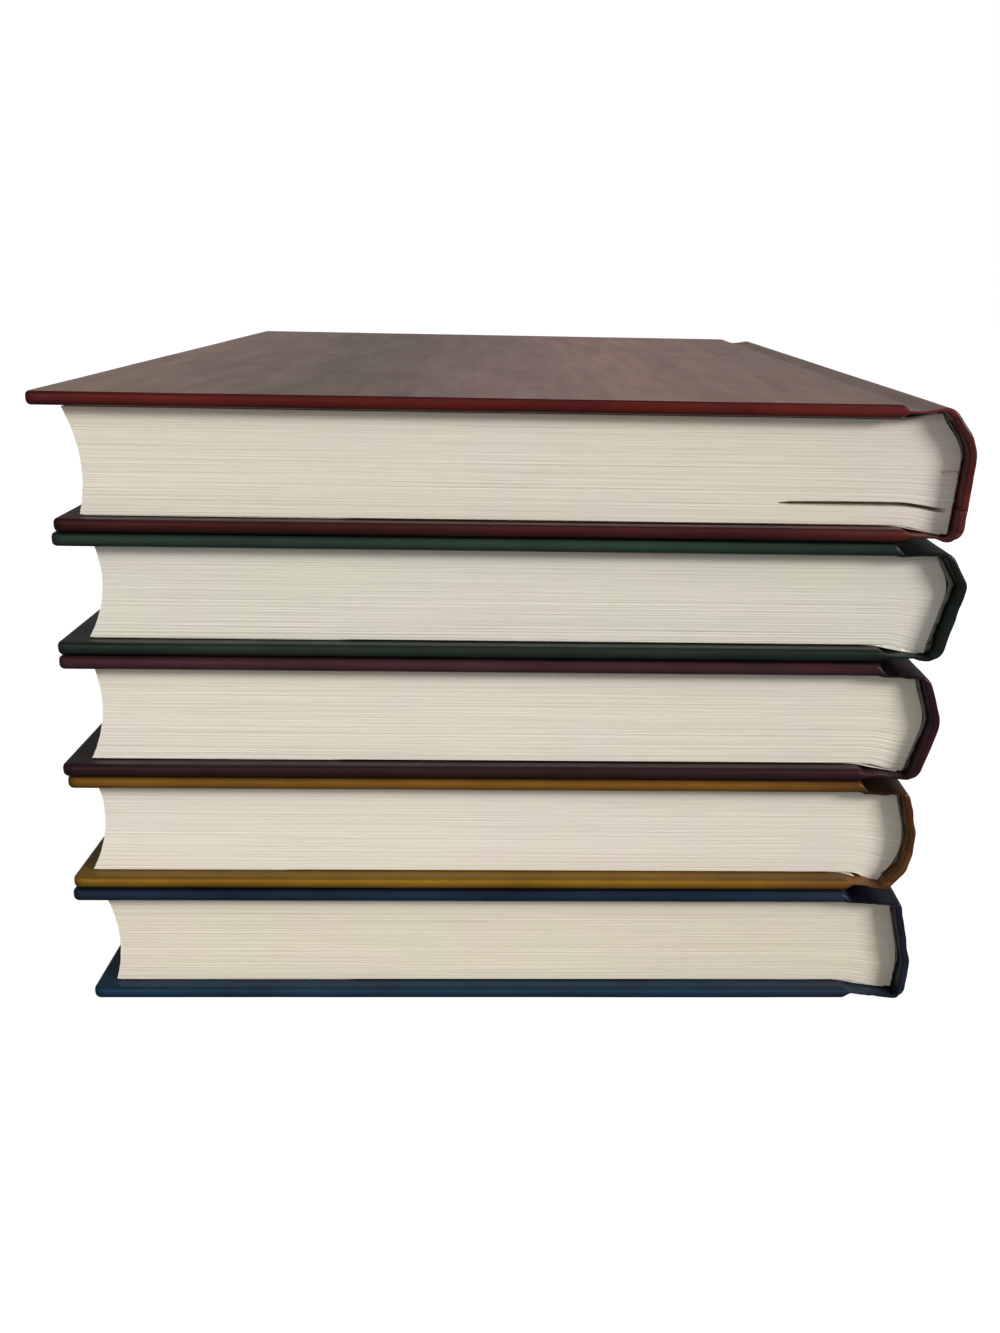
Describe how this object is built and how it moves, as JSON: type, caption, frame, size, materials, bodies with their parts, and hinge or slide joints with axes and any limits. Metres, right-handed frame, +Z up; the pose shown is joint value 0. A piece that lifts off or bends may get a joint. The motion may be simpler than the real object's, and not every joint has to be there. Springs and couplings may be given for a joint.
{
  "type": "stack of books",
  "caption": "Stack of case-bound hardback books with covered boards, rounded hollow spines and cream leaves; the top book's front cover opens on its joint.",
  "frame": {"origin": "bottom centre of the stack's bounding box", "axes": "+X towards the spines, +Y from the tails to the heads of the books, +Z up through the covers"},
  "size_m": [0.1684, 0.2356, 0.1172],
  "materials": {
    "navy_leaves": "matte",
    "navy_cover_paper": "satin",
    "ochre_leaves": "matte",
    "ochre_cover_paper": "satin",
    "plum_leaves": "matte",
    "plum_cover_paper": "satin",
    "green_leaves": "matte",
    "green_cover_paper": "satin",
    "red_leaves": "matte",
    "red_cover_paper": "satin",
    "greyboard": "matte",
    "spine_card": "matte",
    "endpaper": "matte",
    "spine_lining": "matte"
  },
  "bodies": {
    "stack": {"navy_book_text_block": "navy_leaves", "navy_book_front_board": "greyboard", "navy_book_back_board": "greyboard", "navy_book_spine_strip": "spine_card", "navy_book_cover_paper": "navy_cover_paper", "navy_book_back_endpaper": "endpaper", "navy_book_spine_lining": "spine_lining", "navy_book_front_endpaper": "endpaper", "ochre_book_text_block": "ochre_leaves", "ochre_book_front_board": "greyboard", "ochre_book_back_board": "greyboard", "ochre_book_spine_strip": "spine_card", "ochre_book_cover_paper": "ochre_cover_paper", "ochre_book_back_endpaper": "endpaper", "ochre_book_spine_lining": "spine_lining", "ochre_book_front_endpaper": "endpaper", "plum_book_text_block": "plum_leaves", "plum_book_front_board": "greyboard", "plum_book_back_board": "greyboard", "plum_book_spine_strip": "spine_card", "plum_book_cover_paper": "plum_cover_paper", "plum_book_back_endpaper": "endpaper", "plum_book_spine_lining": "spine_lining", "plum_book_front_endpaper": "endpaper", "green_book_text_block": "green_leaves", "green_book_front_board": "greyboard", "green_book_back_board": "greyboard", "green_book_spine_strip": "spine_card", "green_book_cover_paper": "green_cover_paper", "green_book_back_endpaper": "endpaper", "green_book_spine_lining": "spine_lining", "green_book_front_endpaper": "endpaper", "red_book_text_block": "red_leaves", "red_book_back_board": "greyboard", "red_book_spine_strip": "spine_card", "red_book_cover_paper": "red_cover_paper", "red_book_back_endpaper": "endpaper", "red_book_spine_lining": "spine_lining", "red_book_front_flyleaf": "endpaper"},
    "top_front_cover": {"red_book_front_board": "greyboard", "red_book_front_cover_paper": "red_cover_paper", "red_book_front_pastedown": "endpaper"}
  },
  "joints": [
    {"name": "top_cover_hinge", "type": "hinge", "parent": "stack", "child": "top_front_cover", "pos_m": [0.07153, 0, 0.1171], "axis": [0, 1, 0], "range_deg": [0, 178]}
  ]
}
